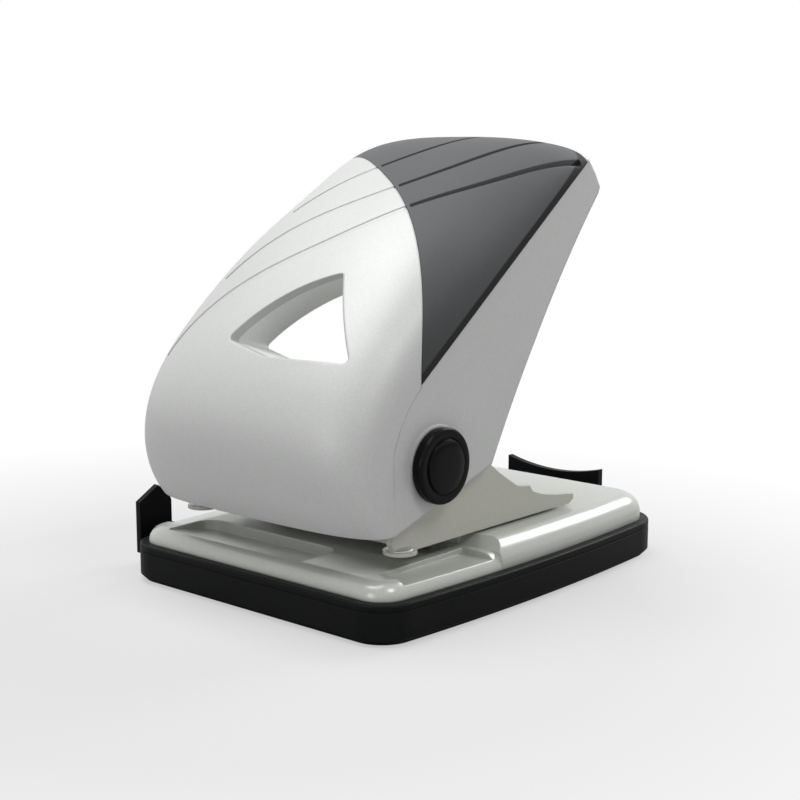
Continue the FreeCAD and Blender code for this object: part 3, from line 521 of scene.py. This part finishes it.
def return_spring(side, word):
    """A coil that stands on the guide bush."""
    low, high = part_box("return_spring_" + word)
    rise = high[2] - low[2] - SPRING_WIRE
    clear_selection()
    bpy.ops.mesh.primitive_circle_add(
        vertices=WIRE_SIDES, radius=SPRING_WIRE / 2, fill_type="NOTHING",
        rotation=(math.pi / 2, 0, 0), location=(SPRING_RADIUS, 0, 0))
    piece = bpy.context.object
    fix_place()
    coil = piece.modifiers.new("coil", "SCREW")
    coil.axis = "Z"
    coil.angle = math.tau
    coil.iterations = SPRING_TURNS
    coil.screw_offset = rise / SPRING_TURNS
    coil.steps = coil.render_steps = STEPS_PER_TURN
    bpy.ops.object.modifier_apply(modifier="coil")
    piece.location = (side * PIN_X, PIN_Y, low[2] + SPRING_WIRE / 2)
    fix_place()
    bpy.ops.object.mode_set(mode="EDIT")
    bpy.ops.mesh.select_all(action="SELECT")
    bpy.ops.mesh.remove_doubles(threshold=0.00002)
    bpy.ops.mesh.fill_holes(sides=0)
    finish_piece(piece, "coil_spring_" + word, "base", turned_steel, 0)
    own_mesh(piece)
    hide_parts("return_spring_" + word)


def tray_rib_frame():
    """A raised rib round the tray's underside, which stiffens it."""
    clear_selection()
    bpy.ops.mesh.primitive_plane_add(size=1.0, location=(0, RIB_CENTRE_Y, RIB_ROOT_Z))
    piece = bpy.context.object
    piece.scale = (RIB_LENGTH_X, RIB_LENGTH_Y, 1.0)
    fix_place()
    open_faces(piece, lambda face: True)
    bpy.ops.mesh.bevel(offset=RIB_CORNER, segments=10, affect="VERTICES")
    bpy.ops.mesh.select_all(action="SELECT")
    inset(RIB_WIDTH)
    bpy.ops.mesh.delete(type="FACE")
    bpy.ops.mesh.select_all(action="SELECT")
    push(z=-RIB_HEIGHT)
    finish_piece(piece, "tray_rib_frame", "tray", skirt_black, 0.0002)


for side, word in ((1, "right"), (-1, "left")):
    pivot_button(side, word)
    frame_foot_stud(side, word)
    return_spring(side, word)
tray_rib_frame()

# ---- floor, light and camera -----------------------------------------------------------
FLOOR_Z, FLOOR_SIZE = -0.0004, 40
GLOW_START, GLOW_FULL, GLOW_LEAST = 0.14, 0.5, 0.5
WORLD_LEVEL = 0.26
BODY_MIDDLE = (0, 0.07, 0.08)


def lit_white(tree, socket, plain):
    """White to the camera and in reflections, a plain level to everything else."""
    path = tree.nodes.new("ShaderNodeLightPath")
    seen = math_node(tree, "MAXIMUM", path.outputs["Is Camera Ray"], path.outputs["Is Glossy Ray"])
    seen = math_node(tree, "MAXIMUM", seen, path.outputs["Is Transmission Ray"])
    tree.links.new(scaled(tree, seen, 1.0 - plain, plain), socket)


def make_floor():
    """A pale floor that keeps the shadow and fades to plain white away from it."""
    bpy.ops.mesh.primitive_plane_add(size=FLOOR_SIZE, location=(0, 0, FLOOR_Z))
    floor = bpy.context.object
    floor.name = "pale_floor"
    fix_place()
    material, tree, shader = start_material("floor_white")
    shader.inputs["Base Color"].default_value = (0.5, 0.5, 0.5, 1)
    shader.inputs["Roughness"].default_value = 0.9
    shader.inputs["Specular IOR Level"].default_value = 0.1
    glow = tree.nodes.new("ShaderNodeEmission")
    far = tree.nodes.new("ShaderNodeVectorMath")
    far.operation = "LENGTH"
    tree.links.new(object_place(tree), far.inputs[0])
    path = tree.nodes.new("ShaderNodeLightPath")
    fade = math_node(tree, "ADD", ramp(tree, far.outputs["Value"], GLOW_START, GLOW_FULL),
                     GLOW_LEAST)
    shown = math_node(tree, "MULTIPLY", path.outputs["Is Camera Ray"], fade, clamp=True)
    mix = tree.nodes.new("ShaderNodeMixShader")
    tree.links.new(shown, mix.inputs[0])
    tree.links.new(shader.outputs[0], mix.inputs[1])
    tree.links.new(glow.outputs[0], mix.inputs[2])
    tree.links.new(mix.outputs[0], tree.nodes["Material Output"].inputs["Surface"])
    floor.data.materials.append(material)


def make_world():
    world = bpy.data.worlds.new("studio")
    bpy.context.scene.world = world
    world.use_nodes = True
    sky = world.node_tree.nodes["Background"]
    sky.inputs["Color"].default_value = (1, 1, 1, 1)
    lit_white(world.node_tree, sky.inputs["Strength"], WORLD_LEVEL)


def add_aimed(name, data, place, aim):
    """A lamp or camera at its place, turned towards its aim."""
    holder = bpy.data.objects.new(name, data)
    bpy.context.collection.objects.link(holder)
    holder.location = place
    holder.rotation_euler = (Vector(aim) - Vector(place)).to_track_quat("-Z", "Y").to_euler()
    return holder


def soft_lamp(name, place, aim, size, watts):
    lamp = bpy.data.lights.new(name, "AREA")
    lamp.shape = "DISK"
    lamp.size = size
    lamp.energy = watts
    add_aimed(name, lamp, place, aim)


def make_camera():
    view = bpy.data.cameras.new("view")
    view.lens = 67.5
    view.sensor_width = 36.0
    view.clip_start = 0.01
    bpy.context.scene.camera = add_aimed("view", view, place=(0.38115, -0.35364, 0.16354),
                                         aim=(-0.00273, 0.082, 0.0652))


make_floor()
make_world()
soft_lamp("over", place=(-0.3, -0.1, 1.15), aim=BODY_MIDDLE, size=0.9, watts=10.6)
soft_lamp("front", place=(0.0, -1.1, 0.32), aim=(0, 0.05, 0.03), size=0.5, watts=1.8)
soft_lamp("back", place=(0.15, 1.0, 0.75), aim=BODY_MIDDLE, size=0.6, watts=6.0)
soft_lamp("right", place=(0.8, 0.0, 0.95), aim=BODY_MIDDLE, size=0.4, watts=3.0)
make_camera()
bpy.context.scene.view_settings.view_transform = "Standard"
